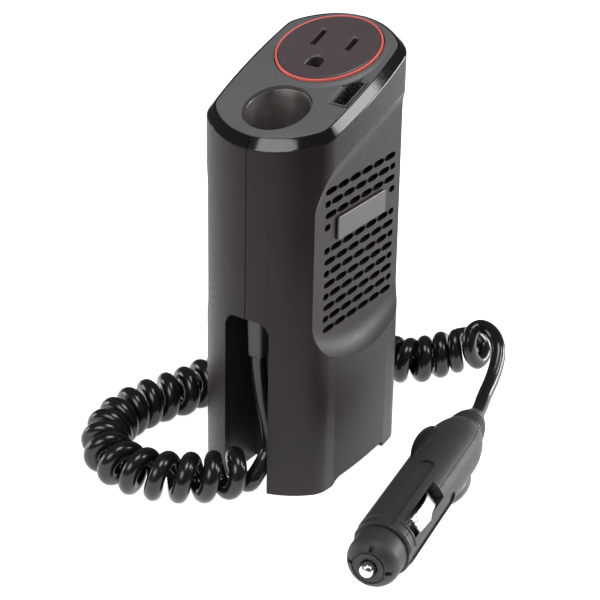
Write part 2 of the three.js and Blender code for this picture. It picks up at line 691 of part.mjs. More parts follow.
const CORE = { x: 6.5, y: 7.5, z: 30, halfY: 12, halfZ: 10, halfX: 5, leg: 3, windowY: 8.2, windowZ: 6 };
function transformerCore() {
  const { x, y, z, halfX, halfY, halfZ, leg, windowY, windowZ } = CORE;
  const body = block(x - halfX, x + halfX, y - halfY, y + halfY, z - halfZ, z + halfZ);
  const windows = [1, -1].map((way) => {
    const [y0, y1] = way > 0 ? [leg, windowY] : [-windowY, -leg];
    return block(x - 20, x + 20, y + y0, y + y1, z - windowZ, z + windowZ);
  });
  return cut(body, windows);
}
function transformerWinding() {
  const shape = roundedRectangle(16.4, 15.8, 2.5);
  shape.holes.push(new THREE.Path(roundedRectangle(10.6, 6.6, 0.5).getPoints(2).reverse()));
  return prism(shape, 11.4, 3).translate(CORE.x, CORE.y, CORE.z - 5.7);
}
add("transformer_core", FERRITE, transformerCore());
add("transformer_winding", TAPE, solid(transformerWinding()));

const CAPACITORS = [
  { y: 18.4, z: 97, radius: 7, length: 20 },
  { y: 20.4, z: 45.9, radius: 5, length: 16 },
  { y: 9.4, z: 45.9, radius: 5, length: 16 },
];
CAPACITORS.forEach(({ y, z, radius, length }, i) => {
  const profile = [[0, 0], [radius, 0], [radius, length - 0.8], [radius - 0.8, length], [0, length]];
  const can = turned(profile, 20).rotateX(Math.PI).translate(0, 0, BOARD_X - GAP);
  add("capacitor_" + (i + 1), CAN, alongX(can, y, z));
});

const SINK = { front: -4.5, back: 25.4, z0: 52, z1: 87, base: 2.5, fin: 1.2, fins: 7, reach: 17 };
function heatSink() {
  const right = BOARD_X - GAP;
  const left = right - SINK.reach;
  const step = (SINK.back - SINK.front - SINK.fin) / (SINK.fins - 1);
  const fins = Array.from({ length: SINK.fins }, (_, i) => SINK.front + i * step);
  const parts = fins.map((y) => block(left, right - 1, y, y + SINK.fin, SINK.z0, SINK.z1));
  return join([block(right - SINK.base, right, SINK.front, SINK.back, SINK.z0, SINK.z1), ...parts]);
}
add("heat_sink", ALUMINIUM, heatSink());

// ---- fan behind the left grille ----
const FAN = { x: -13, y: 6.9, z: 66, size: 35, depth: 10, bore: 16.4, hub: 7, blades: 7 };
const fanPlace = (geometry) => geometry.rotateY(Math.PI / 2).translate(FAN.x, FAN.y, FAN.z);
function fanFrame() {
  const half = FAN.depth / 2;
  const body = solid(prism(roundedRectangle(FAN.size, FAN.size, 3), FAN.depth, 2).translate(0, 0, -half));
  const bore = solid(rod(FAN.bore, 1 - half, half + 1, 40));
  const windows = [0, 1, 2, 3].map((i) => {
    const opening = hoop(FAN.hub + 1, FAN.bore, -half - 1, 2 - half, 40);
    const quarter = new THREE.BoxGeometry(20, 20, 20).translate(11.4, 11.4, 0);
    return solid(opening).intersect(solid(quarter.rotateZ((i * Math.PI) / 2)));
  });
  return cut(body, [bore, ...windows]);
}
add("fan_frame", BLACK, fanPlace(geometryOf(fanFrame())));

function fanRotor() {
  const [low, high] = [1.6 - FAN.depth / 2, FAN.depth / 2 - 0.6];
  const hub = solid(rod(FAN.hub, low, high, 24));
  const blades = Array.from({ length: FAN.blades }, (_, i) => {
    const blade = new THREE.BoxGeometry(9.4, 1, 8).rotateX(THREE.MathUtils.degToRad(42));
    const turn = (i * 2 * Math.PI) / FAN.blades;
    return solid(blade.translate(FAN.hub + 3.9, 0, (low + high) / 2).rotateZ(turn));
  });
  return join([hub, ...blades]);
}
add("fan_rotor", BLACK, fanPlace(geometryOf(fanRotor())));

export default inverter;
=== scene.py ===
"""The look of a pocket power inverter: case, outlet deck, lead bay, curly lead and vehicle plug.

Lengths are millimetres in the part's frame unless a name ends in _M, and every mesh is scaled to metres
as it is made. The lead's route is in metres.
"""

import math  # noqa: E402

import bmesh  # noqa: E402
import bpy  # noqa: E402
from mathutils import Matrix, Vector  # noqa: E402


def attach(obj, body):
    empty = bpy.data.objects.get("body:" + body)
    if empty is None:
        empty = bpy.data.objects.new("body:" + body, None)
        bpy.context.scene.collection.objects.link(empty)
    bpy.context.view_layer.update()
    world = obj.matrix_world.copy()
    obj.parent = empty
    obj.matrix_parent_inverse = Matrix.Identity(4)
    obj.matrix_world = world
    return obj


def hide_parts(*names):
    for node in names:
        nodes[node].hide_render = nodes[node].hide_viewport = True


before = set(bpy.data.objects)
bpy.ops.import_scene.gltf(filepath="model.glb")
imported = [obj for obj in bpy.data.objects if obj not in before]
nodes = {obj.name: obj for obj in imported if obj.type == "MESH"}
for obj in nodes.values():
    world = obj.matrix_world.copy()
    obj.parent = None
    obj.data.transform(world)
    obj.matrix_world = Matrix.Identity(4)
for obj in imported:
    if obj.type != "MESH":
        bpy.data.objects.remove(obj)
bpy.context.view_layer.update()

MM = 0.001
GAP = 0.3
SLOPE = math.radians(19.4)  # the deck falls towards the front

# ---- case ----
HALF_WIDTH = 25.25
HALF_LENGTH = 35.2
END_TAPER = 0.0115  # how far the ends lean in for each millimetre of height
SIDE_RADIUS = 190
END_RADIUS = 30
CORNER_RADIUS = 9
WALL = 2.4
FLOOR = 6
DECK_Z = 138.1  # height of the deck's rim at Y 0
DECK_THICKNESS = 2.4
PANEL_X = 20.8  # face of the recessed side panel

# ---- deck ----
OUTLET_Y = 12.34
OUTLET_RADIUS = 17.9
OUTLET_HOLE = 18.2
OUTLET_RISE = 1.4
RING_WIDTH = 0.8
SOCKET_V = -31.8
SOCKET_HOLE = 11.3
BARREL_RADIUS = 10.6
BARREL_WALL = 0.5
BARREL_SUNK = 1.3  # from the deck's surface down to the liner's rim
SOCKET_DEPTH = 41
USB_X = 17.9
USB_V = -17.3
DECK_TOP = -OUTLET_RISE  # deck surface in the deck's own frame

# ---- lead bay ----
BAY_HALF_WIDTH = 8.65
BAY_TOP = 64.2
BAY_CORNER = 5

# ---- lead, in metres ----
CORD_RADIUS_M = 0.0027
COIL_SWELL = 1.12  # the sheath is thicker where it is moulded into a coil
HELIX_RADIUS_M = 0.00575  # from the coil's middle to the cord's middle
PITCH_M = 0.0081
CLOSE_PITCH_M = 0.0066
POINTS_PER_TURN = 28
STEPS = 24  # points on a path for each pair of knots
ENTRY = 4  # the turns' point where the bay lead joins them
COIL_Z = 0.0088
BAY_LEAD = [
    (0, -0.0265, 0.0477),
    (0.0001, -0.0265, 0.044),
    (0.0008, -0.0265, 0.037),
    (0.0024, -0.0267, 0.029),
    (0.0044, -0.027, 0.021),
    (0.0056, -0.0278, 0.0145),
    (0.0054, -0.0305, 0.0105),
]
COIL = [
    (0.0034, -0.0344, COIL_Z),
    (-0.0007, -0.0414, COIL_Z),
    (-0.0056, -0.0474, COIL_Z),
    (-0.0115, -0.0522, COIL_Z),
    (-0.0174, -0.0555, COIL_Z),
    (-0.0241, -0.0577, COIL_Z),
    (-0.032, -0.0582, COIL_Z),
    (-0.0399, -0.0562, COIL_Z),
    (-0.0466, -0.0511, COIL_Z),
    (-0.0513, -0.0436, COIL_Z),
    (-0.0537, -0.0345, COIL_Z),
    (-0.0534, -0.0245, COIL_Z),
    (-0.0511, -0.0154, COIL_Z),
    (-0.0474, -0.0057, COIL_Z),
    (-0.0446, 0.0083, COIL_Z),
    (-0.0416, 0.0203, COIL_Z),
    (-0.0366, 0.0328, COIL_Z),
    (-0.0288, 0.0443, COIL_Z),
    (-0.0186, 0.0531, COIL_Z),
    (-0.0064, 0.0582, COIL_Z),
    (0.0074, 0.0614, COIL_Z + 0.0001),
    (0.013, 0.0654, COIL_Z + 0.0011),
    (0.0182, 0.0697, COIL_Z + 0.0028),
    (0.0234, 0.0725, COIL_Z + 0.005),
]
TAIL_LEAD = [
    (0.025, 0.0797, 0.0173),
    (0.0278, 0.0813, 0.0135),
    (0.0304, 0.0784, 0.0113),
    (0.0308, 0.0727, 0.0105),
    (0.0296, 0.0688, 0.0152),
    (0.0287, 0.0689, 0.0197),
    (0.0281, 0.0718, 0.023),
    (0.0298, 0.0744, 0.0244),
    (0.0336, 0.0743, 0.0244),
    (0.0376, 0.0721, 0.0234),
    (0.0407, 0.0688, 0.0218),
    (0.0424, 0.066, 0.0196),
    (0.0438, 0.0618, 0.0169),
    (0.045, 0.0565, 0.0143),
    (0.0466, 0.0487, 0.0122),
    (0.0485, 0.0421, 0.0112),
    (0.0498, 0.0368, 0.011),
]


# ---- mesh helpers ----
def from_bmesh(name, bm, matrix=Matrix.Identity(4)):
    """A new object in metres from a bmesh in millimetres in the frame that matrix leads out of."""
    bmesh.ops.remove_doubles(bm, verts=bm.verts, dist=1e-4)
    bmesh.ops.recalc_face_normals(bm, faces=bm.faces)
    if bm.calc_volume(signed=True) < 0:
        bmesh.ops.reverse_faces(bm, faces=bm.faces)
    bm.transform(Matrix.Scale(MM, 4) @ matrix)
    mesh = bpy.data.meshes.new(name)
    bm.to_mesh(mesh)
    bm.free()
    obj = bpy.data.objects.new(name, mesh)
    bpy.context.scene.collection.objects.link(obj)
    return obj


def lathe(name, profile, sides=96, matrix=Matrix.Identity(4), closed=False):
    """A solid turned about the local z from (radius, height) pairs, its ends capped, or joined if closed."""
    bm = bmesh.new()
    rings = []
    for radius, height in profile:
        if radius == 0:
            rings.append([bm.verts.new((0, 0, height))])
            continue
        angles = [2 * math.pi * i / sides for i in range(sides)]
        rings.append([bm.verts.new((radius * math.cos(a), radius * math.sin(a), height)) for a in angles])
    pairs = list(zip(rings, rings[1:]))
    if closed:
        pairs.append((rings[-1], rings[0]))
    for low, high in pairs:
        for i in range(sides):
            j = (i + 1) % sides
            corners = [low[i % len(low)], low[j % len(low)], high[j % len(high)], high[i % len(high)]]
            distinct = list(dict.fromkeys(corners))
            if len(distinct) > 2:
                bm.faces.new(distinct)
    if not closed:
        for ring in (rings[0], rings[-1]):
            if len(ring) > 1:
                bm.faces.new(ring)
    return from_bmesh(name, bm, matrix)


def loft(name, rings, matrix=Matrix.Identity(4)):
    """A closed solid through rings of points that all have the same count."""
    bm = bmesh.new()
    made = [[bm.verts.new(point) for point in ring] for ring in rings]
    for low, high in zip(made, made[1:]):
        for i in range(len(low)):
            j = (i + 1) % len(low)
            bm.faces.new((low[i], low[j], high[j], high[i]))
    bm.faces.new(list(reversed(made[0])))
    bm.faces.new(made[-1])
    return from_bmesh(name, bm, matrix)


def extrude(name, outline, low, high, matrix=Matrix.Identity(4)):
    """A prism from a 2-D outline, along the local z."""
    return loft(name, [[(x, y, z) for x, y in outline] for z in (low, high)], matrix)


def block(name, low, high, matrix=Matrix.Identity(4)):
    outline = [(low[0], low[1]), (high[0], low[1]), (high[0], high[1]), (low[0], high[1])]
    return extrude(name, outline, low[2], high[2], matrix)


def joined(name, objects):
    """One object that holds the meshes of several."""
    bm = bmesh.new()
    for obj in objects:
        bm.from_mesh(obj.data)
        bpy.data.objects.remove(obj)
    mesh = bpy.data.meshes.new(name)
    bm.to_mesh(mesh)
    bm.free()
    obj = bpy.data.objects.new(name, mesh)
    bpy.context.scene.collection.objects.link(obj)
    return obj


def apply_modifiers(obj):
    evaluated = obj.evaluated_get(bpy.context.evaluated_depsgraph_get())
    mesh = bpy.data.meshes.new_from_object(evaluated)
    obj.modifiers.clear()
    obj.data = mesh
    return obj


def boolean(obj, cutters, operation="DIFFERENCE"):
    """Cuts obj with each cutter in turn, or keeps what they share, and removes the cutters."""
    for cutter in cutters:
        modifier = obj.modifiers.new("cut", "BOOLEAN")
        modifier.operation = operation
        modifier.solver = "EXACT"
        modifier.object = cutter
        apply_modifiers(obj)
        bpy.data.objects.remove(cutter)
    return obj


def rounded(obj, width, segments=2, angle=40):
    """Rounds the sharp edges by width."""
    modifier = obj.modifiers.new("round", "BEVEL")
    modifier.width = width * MM
    modifier.segments = segments
    modifier.limit_method = "ANGLE"
    modifier.angle_limit = math.radians(angle)
    return obj


def smooth(obj, angle=32):
    obj.data.shade_smooth()
    obj.data.set_sharp_from_angle(angle=math.radians(angle))
    return obj


def finish_piece(obj, material, body, slot, *replaced):
    """Gives a made piece its material and its body, and hides the CAD nodes that it stands for."""
    obj.data.materials.clear()
    obj.data.materials.append(material)
    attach(obj, body)
    if replaced:
        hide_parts(*replaced)
    return obj


def arc(cx, cy, radius, start, end, count):
    """Points on an arc, its angles in radians."""
    steps = [start + (end - start) * i / count for i in range(count + 1)]
    return [(cx + radius * math.cos(a), cy + radius * math.sin(a)) for a in steps]


def rounded_rectangle(width, height, radius, count=6):
    a, b = width / 2 - radius, height / 2 - radius
    quarter = math.pi / 2
    corners = [(a, b), (-a, b), (-a, -b), (a, -b)]
    points = []
    for i, (x, y) in enumerate(corners):
        points += arc(x, y, radius, i * quarter, (i + 1) * quarter, count)
    return points


def smooth_path(points):
    """A centripetal Catmull-Rom curve through the points, as the CAD's lead has."""
    knots = [Vector(p) for p in points]
    knots = [2 * knots[0] - knots[1], *knots, 2 * knots[-1] - knots[-2]]
    line = []
    for p0, p1, p2, p3 in zip(knots, knots[1:], knots[2:], knots[3:]):
        d0, d1, d2 = (math.sqrt((b - a).length) for a, b in ((p0, p1), (p1, p2), (p2, p3)))
        out = ((p1 - p0) / d0 - (p2 - p0) / (d0 + d1) + (p2 - p1) / d1) * d1
        back = ((p2 - p1) / d1 - (p3 - p1) / (d1 + d2) + (p3 - p2) / d2) * d1
        for i in range(STEPS):
            t = i / STEPS
            a, b = 2 * t**3 - 3 * t**2 + 1, t**3 - 2 * t**2 + t
            c, d = -2 * t**3 + 3 * t**2, t**3 - t**2
            line.append(a * p1 + b * out + c * p2 + d * back)
    line.append(knots[-2])
    return line


# ---- materials ----
def new_material(name, color, roughness, metallic=0.0):
    material = bpy.data.materials.new(name)
    material.use_nodes = True
    shader = material.node_tree.nodes["Principled BSDF"]
    shader.inputs["Base Color"].default_value = (*color, 1)
    shader.inputs["Roughness"].default_value = roughness
    shader.inputs["Metallic"].default_value = metallic
    return material, material.node_tree, shader


def noise(tree, scale, detail=2, stretch=(1, 1, 1), turn=(0, 0, 0)):
    """Noise in the piece's own coordinates. scale is in features per millimetre."""
    coordinates = tree.nodes.new("ShaderNodeTexCoord")
    mapping = tree.nodes.new("ShaderNodeMapping")
    mapping.inputs["Rotation"].default_value = turn
    mapping.inputs["Scale"].default_value = [s * scale / MM for s in stretch]
    texture = tree.nodes.new("ShaderNodeTexNoise")
    texture.inputs["Scale"].default_value = 1
    texture.inputs["Detail"].default_value = detail
    tree.links.new(coordinates.outputs["Object"], mapping.inputs["Vector"])
    tree.links.new(mapping.outputs["Vector"], texture.inputs["Vector"])
    return texture.outputs["Fac"]


def spread(tree, value, low, high):
    """A value of about 0.3 to 0.7 spread over low to high."""
    node = tree.nodes.new("ShaderNodeMapRange")
    node.inputs["From Min"].default_value = 0.3
    node.inputs["From Max"].default_value = 0.7
    node.inputs["To Min"].default_value = low
    node.inputs["To Max"].default_value = high
    tree.links.new(value, node.inputs["Value"])
    return node.outputs["Result"]


def mottle(tree, shader, color, value, amount):
    """Lets the colour wander by amount either way."""
    mix = tree.nodes.new("ShaderNodeMix")
    mix.data_type = "RGBA"
    a, b = (s for s in mix.inputs if s.type == "RGBA")
    a.default_value = (*[c * (1 - amount) for c in color], 1)
    b.default_value = (*[c * (1 + amount) for c in color], 1)
    tree.links.new(spread(tree, value, 0, 1), mix.inputs[0])
    tree.links.new([s for s in mix.outputs if s.type == "RGBA"][0], shader.inputs["Base Color"])


def bump(tree, shader, value, height, strength=1.0):
    node = tree.nodes.new("ShaderNodeBump")
    node.inputs["Strength"].default_value = strength
    node.inputs["Distance"].default_value = height * MM
    tree.links.new(value, node.inputs["Height"])
    tree.links.new(node.outputs["Normal"], shader.inputs["Normal"])


def plastic(name, color, roughness, grain=0.0, grain_scale=3.0, sheen=0.04, variation=0.06, shine=0.5):
    """Moulded plastic: slightly uneven in colour and gloss, with a fine grain where it is matte."""
    material, tree, shader = new_material(name, color, roughness)
    shader.inputs["Specular IOR Level"].default_value = shine
    broad = noise(tree, 0.08, 3)
    mottle(tree, shader, color, broad, variation)
    gloss = spread(tree, noise(tree, 0.6, 4), roughness - sheen, roughness + sheen)
    tree.links.new(gloss, shader.inputs["Roughness"])
    if grain:
        bump(tree, shader, noise(tree, grain_scale, 2), grain)
    return material


def metal(name, color, roughness, stretch=(1, 1, 1), turn=(0, 0, 0), scale=1.5, height=0.004):
    """Metal with fine scratches that run across the stretched direction."""
    material, tree, shader = new_material(name, color, roughness, 1.0)
    grain = noise(tree, scale, 4, stretch, turn)
    mottle(tree, shader, color, noise(tree, 0.15, 3), 0.1)
    tree.links.new(spread(tree, grain, roughness - 0.08, roughness + 0.12), shader.inputs["Roughness"])
    bump(tree, shader, grain, height)
    return material


CASE = plastic("case_matte", (0.0155, 0.0105, 0.0115), 0.42, grain=0.012, shine=0.22)
CASE_POLISHED = plastic("case_polished", (0.006, 0.0055, 0.006), 0.1, sheen=0.02)
DECK = plastic("deck_satin", (0.115, 0.116, 0.122), 0.45, grain=0.008)
OUTLET = plastic("outlet_satin", (0.075, 0.058, 0.063), 0.38, grain=0.006)
RING = plastic("ring_coral", (0.74, 0.15, 0.125), 0.35)
BLACK = plastic("black_plastic", (0.012, 0.012, 0.013), 0.45, grain=0.006)
GLAND = plastic("gland_plastic", (0.045, 0.042, 0.044), 0.5, grain=0.008)
SHEATH = plastic("cord_sheath", (0.009, 0.008, 0.0085), 0.2, sheen=0.03)
PLUG = plastic("plug_satin", (0.036, 0.032, 0.037), 0.5, grain=0.006, shine=0.35)
# A darker copy of the plug's plastic for the grips: painted shade, since the grips are the plug's own
# plastic lying in shade.
PLUG_SHADED = plastic("plug_painted_shade", (0.011, 0.0105, 0.012), 0.3, grain=0.004)
BRIGHT = metal("bright_metal", (0.78, 0.78, 0.76), 0.24, height=0.001)
BARREL = metal(
    "brushed_barrel", (0.36, 0.34, 0.33), 0.4, stretch=(1, 1, 0.04), turn=(-SLOPE, 0, 0), height=0.01
)
BRASS = metal("brass", (0.62, 0.42, 0.18), 0.3)
# Near-black green, darker than the board's own green: painted shade for the dark inside of the case seen
# through the vent slots.
BOARD = plastic("board_painted_shade", (0.006, 0.02, 0.011), 0.35)
ALUMINIUM = metal("aluminium", (0.55, 0.56, 0.58), 0.35, stretch=(1, 1, 0.05), height=0.008)
FERRITE = plastic("ferrite", (0.04, 0.04, 0.044), 0.6, grain=0.02)
TAPE = plastic("winding_tape", (0.55, 0.38, 0.05), 0.35)
CAN = plastic("can_sleeve", (0.025, 0.035, 0.11), 0.25)
STEEL = metal("screw_steel", (0.3, 0.3, 0.31), 0.35)
GLASS = plastic("fuse_glass", (0.7, 0.75, 0.76), 0.1)
PANEL_BADGE = plastic("badge_satin", (0.06, 0.052, 0.054), 0.4, grain=0.006)


# ---- camera ----
CAMERA_AT = (0.29213, -0.44545, 0.32322)
CAMERA_RIGHT = Vector((0.8308, 0.5563, 0.0148))
CAMERA_BACK = Vector((0.4922, -0.7470, 0.4469))
CAMERA_LENS = 104.95


def add_camera():
    data = bpy.data.cameras.new("camera")
    data.sensor_width = 36
    data.lens = CAMERA_LENS
    camera = bpy.data.objects.new("camera", data)
    up = CAMERA_BACK.cross(CAMERA_RIGHT)
    axes = Matrix((CAMERA_RIGHT, up, CAMERA_BACK)).transposed().to_4x4()
    camera.matrix_world = Matrix.Translation(CAMERA_AT) @ axes
    bpy.context.scene.collection.objects.link(camera)
    bpy.context.scene.camera = camera


add_camera()


# ---- frames of the deck and the plug ----
def deck_frame():
    """Its z is square to the deck and its y runs up the slope, from the middle of the outlet's face."""
    height = DECK_Z + OUTLET_Y * math.tan(SLOPE) + OUTLET_RISE / math.cos(SLOPE)
    return Matrix.Translation((0, OUTLET_Y, height)) @ Matrix.Rotation(SLOPE, 4, "X")


def plug_frame():
    """Its z runs from the cord to the tip and its x points to a side contact."""
    heading = Vector((0.172, -0.985, 0)).normalized()
    angle = math.radians(49.5)
    up = Vector((0, 0, 1))
    to_spring = up * math.cos(angle) + up.cross(heading) * math.sin(angle)
    axes = Matrix((to_spring, heading.cross(to_spring), heading)).transposed().to_4x4()
    return Matrix.Translation((49.9, 36.2, 11)) @ axes


TO_DECK = deck_frame()
TO_PLUG = plug_frame()


# ---- curly lead ----
def measured(line):
    """Distance along a line at each of its points."""
    lengths = [0]
    for a, b in zip(line, line[1:]):
        lengths.append(lengths[-1] + (b - a).length)
    return lengths


def at_length(line, lengths, wanted):
    """Point and direction at a distance along a line."""
    i = max(k for k in range(len(line) - 1) if lengths[k] <= wanted)
    share = (wanted - lengths[i]) / (lengths[i + 1] - lengths[i])
    low, high = max(i - 8, 0), min(i + 9, len(line) - 1)
    return line[i].lerp(line[i + 1], share), (line[high] - line[low]).normalized()


def pitch(distance, length):
    """The coil's pitch, which closes up towards the plug."""
    start, change = 0.62 * length, 0.14 * length
    share = min(1, max(0, (distance - start) / change))
    return PITCH_M + (CLOSE_PITCH_M - PITCH_M) * share * share * (3 - 2 * share)


def helix():
    """The coil's turns, wound left-handed about the coil's middle line, from the bay to the last crest."""
    line = smooth_path(COIL)
    lengths = measured(line)
    distance, angle = lengths[-1] * 0.9999, 0
    points = []
    while distance > 0:
        centre, ahead = at_length(line, lengths, distance)
        left = Vector((0, 0, 1)).cross(ahead).normalized()
        above = ahead.cross(left)
        radius = HELIX_RADIUS_M * min(1, 0.25 + distance / 0.003)
        points.append(centre + radius * (above * math.cos(angle) + left * math.sin(angle)))
        angle -= 2 * math.pi / POINTS_PER_TURN
        distance -= pitch(distance, lengths[-1]) / POINTS_PER_TURN
    return points[::-1]


def cord_route():
    """From the gland through the turns to the boot of the plug."""
    coil = helix()
    lead_in = smooth_path([*BAY_LEAD, coil[ENTRY]])[:-1]
    lead_out = smooth_path([coil[-2], coil[-1], *TAIL_LEAD])[STEPS:]
    return lead_in + coil[ENTRY:-1] + lead_out


def add_cord():
    route = cord_route()
    curve = bpy.data.curves.new("lead", "CURVE")
    curve.dimensions = "3D"
    curve.bevel_depth = CORD_RADIUS_M
    curve.bevel_resolution = 6
    curve.use_fill_caps = True
    spline = curve.splines.new("POLY")
    spline.points.add(len(route) - 1)
    swell_points = 60  # over which the sheath thickens at the coil's start, and thins at its end
    first, last = swell_points, len(route) - STEPS * len(TAIL_LEAD)
    for i, (point, place) in enumerate(zip(spline.points, route)):
        point.co = (*place, 1)
        inside = min(1, max(0, min(i - first, last - i) / swell_points))
        point.radius = 1 + (COIL_SWELL - 1) * inside
    lead = bpy.data.objects.new("lead", curve)
    bpy.context.scene.collection.objects.link(lead)
    return lead


lead = add_cord()
finish_piece(lead, SHEATH, "inverter", "cord_sheath", "bay_lead", "coiled_lead", "tail_lead")


# ---- case ----
def quarter_outline(inset):
    """From the middle of the +X side to the middle of the back, by arcs that touch each other."""
    side_centre, end_centre = SIDE_RADIUS - HALF_WIDTH, HALF_LENGTH - END_RADIUS
    p, q = SIDE_RADIUS - CORNER_RADIUS, END_RADIUS - CORNER_RADIUS
    base = math.hypot(side_centre, end_centre)
    along = (p * p - q * q + base * base) / (2 * base)
    turn = math.atan2(end_centre, side_centre) + math.acos(along / p)
    cx, cy = p * math.cos(turn) - side_centre, p * math.sin(turn)
    side_angle, end_angle = math.atan2(cy, cx + side_centre), math.atan2(cy - end_centre, cx)
    side = arc(-side_centre, 0, SIDE_RADIUS - inset, 0, side_angle, 12)
    corner = arc(cx, cy, CORNER_RADIUS - inset, side_angle, end_angle, 14)
    end = arc(0, end_centre, END_RADIUS - inset, end_angle, math.pi / 2, 10)
    return side[:-1] + corner[:-1] + end


def case_outline(inset, limit=99):
    """The whole outline, with its sides held within limit of the middle."""
    quarter = [(min(x, limit), y) for x, y in quarter_outline(inset)]
    back = quarter + [(-x, y) for x, y in reversed(quarter[:-1])]
    return back + [(x, -y) for x, y in reversed(back[1:-1])]


def case_ring(inset, z, sloped=True, limit=99):
    """The outline at height z. A sloped ring is parallel to the deck, and z is its height at Y 0."""
    ring = []
    for x, y in case_outline(inset, limit):
        height = z + (y * math.tan(SLOPE) if sloped else 0)
        ring.append((x, y * (1 - END_TAPER * height / HALF_LENGTH), height))
    return ring


BEVEL_DROP = 3.1
# Inset and drop below the rim of the polished bevel, from its lower edge up.
BEVEL = [(0, 3.1), (0.05, 2.85), (0.2, 2.6), (0.5, 2.25), (1.9, 0.65), (2.2, 0.32), (2.4, 0.1), (2.5, 0)]


def case_blank():
    """The whole case, solid, with its rounded foot, its bevel and the seat of the deck."""
    foot = [case_ring(0.6, 0, False), case_ring(0.2, 0.15, False), case_ring(0, 0.6, False)]
    bevel = [case_ring(inset, DECK_Z - drop) for inset, drop in BEVEL]
    seat = [case_ring(2.55, DECK_Z - 0.1), case_ring(2.55, DECK_Z - DECK_THICKNESS)]
    return loft("case_blank", foot + bevel + seat)


def case_cavities():
    """Room for the works: a low one between the panels, and a wider one under the deck."""
    inset, limit = WALL + 1.2, PANEL_X - WALL
    low = [case_ring(inset, FLOOR, False, limit), case_ring(inset, DECK_Z - 8, True, limit)]
    high = [case_ring(inset, DECK_Z - 8.5), case_ring(inset, DECK_Z - 1)]
    return [loft("low_cavity", low), loft("high_cavity", high)]


COVE = 9.7  # the cove round a side panel rises by distance squared over twice this


def panel_surface(y, z):
    """X of a side panel's face, with the cove that runs out to the case above and below it."""
    corner = 0.07 * max(0, -17 - y) ** 2
    above = 0.955 * (z - 116.2 - 0.31 * y + corner)
    below = math.hypot(y - 2.5, min(z - 108, 0)) - 52.7
    out = min(max(above, below, 0), 14)
    return PANEL_X + out * out / (2 * COVE)


def panel_cutter():
    """All that lies outside the recessed panel of the +X side."""
    rings = []
    for z in range(36, 150):
        surface = [(panel_surface(y, z), y, z) for y in range(-42, 43)]
        rings.append(surface + [(60, 42, z), (60, -42, z)])
    return loft("panel_cutter", rings)


# Turns local x and y to Y and Z.
ACROSS = Matrix.Rotation(math.pi / 2, 4, "Z") @ Matrix.Rotation(math.pi / 2, 4, "X")
SLOT_LENGTH = 6.7
SLOT_WIDTH = 2.2
SLOT_PITCH = (7.1, 4.064)
SLOT_ROWS = 13
SLOT_TOP = 108.4
SLOT_MIDDLE = 1.2
BADGE = {"y": 1.2, "z": 94.1, "length": 29, "height": 8}


def slot_outline(y, z, length):
    """A vent slot with drawn-out ends."""
    points = []
    for i in range(20):
        a = 2 * math.pi * i / 20
        along = length / 2 * math.copysign(abs(math.cos(a)) ** 0.75, math.cos(a))
        up = SLOT_WIDTH / 2 * math.copysign(abs(math.sin(a)) ** 0.65, math.sin(a))
        points.append((y + along, z + up))
    return points


def vent_slots(badge):
    """Cutters for staggered slots, and for the fine grooves that link them, kept clear of the badge."""
    slots, grooves = [], []
    for row in range(SLOT_ROWS):
        z = SLOT_TOP - row * SLOT_PITCH[1]
        beside = badge and abs(z - BADGE["z"]) < BADGE["height"] / 2 + 1
        count = 6 if row % 2 == 0 else 7
        for i in range(count):
            half = count == 7 and i in (0, 6)
            length = SLOT_LENGTH / (2 if half else 1)
            y = SLOT_MIDDLE + (i - (count - 1) / 2) * SLOT_PITCH[0]
            if half:
                y += SLOT_LENGTH / 4 * (1 - i / 3)
            if beside and abs(y - BADGE["y"]) < (BADGE["length"] + length) / 2:
                continue
            slots.append(extrude("slot", slot_outline(y, z, length), PANEL_X - 5, PANEL_X + 5, ACROSS))
        if not beside:
            grooves.append(block("groove", (PANEL_X - 0.35, -16, z - 0.2), (PANEL_X + 5, 18.4, z + 0.2)))
    return [joined("slots", slots), joined("grooves", grooves)]


def foot_relief():
    """The low arch under each side, between the front foot and the rear one."""
    curve = [(-18.7 + 6 * t, 2.6 - 3.6 * (1 - t) ** 2) for t in (0, 0.25, 0.5, 0.75, 1)]
    return extrude("relief", [*curve, (14.7, 2.6), (15.6, -1)], -60, 60, ACROSS)


def bay_mouth():
    """The arched opening in the front wall, open at the foot."""
    r, w, top = BAY_CORNER, BAY_HALF_WIDTH, BAY_TOP
    arch = arc(w - r, top - r, r, 0, math.pi / 2, 10) + arc(r - w, top - r, r, math.pi / 2, math.pi, 10)
    to_front = Matrix.Rotation(math.pi / 2, 4, "X")
    return extrude("mouth", [(w, -5), *arch, (-w, -5)], 20, 50, to_front)


SCREWS = [(-9.4, 12), (23, 12), (19.5, 114.8)]  # Y and Z of the three in the left shell


def screw_counterbore(y, z):
    """A hole that the head of a screw sits in, on the +X side before the left shell is mirrored."""
    seat = PANEL_X - 3.4 if z > 60 else HALF_WIDTH - 6
    along_x = Matrix.Translation((0, y, z)) @ Matrix.Rotation(math.pi / 2, 4, "Y")
    return lathe("counterbore", [(0, seat), (3, seat), (3, 40), (0, 40)], 32, along_x)


def usb_pocket():
    """Room for the charging port in the right shell."""
    return block("pocket", (USB_X - 3.35, USB_V - 7.2, -15.6), (USB_X + 3.35, USB_V + 7.2, 1), TO_DECK)


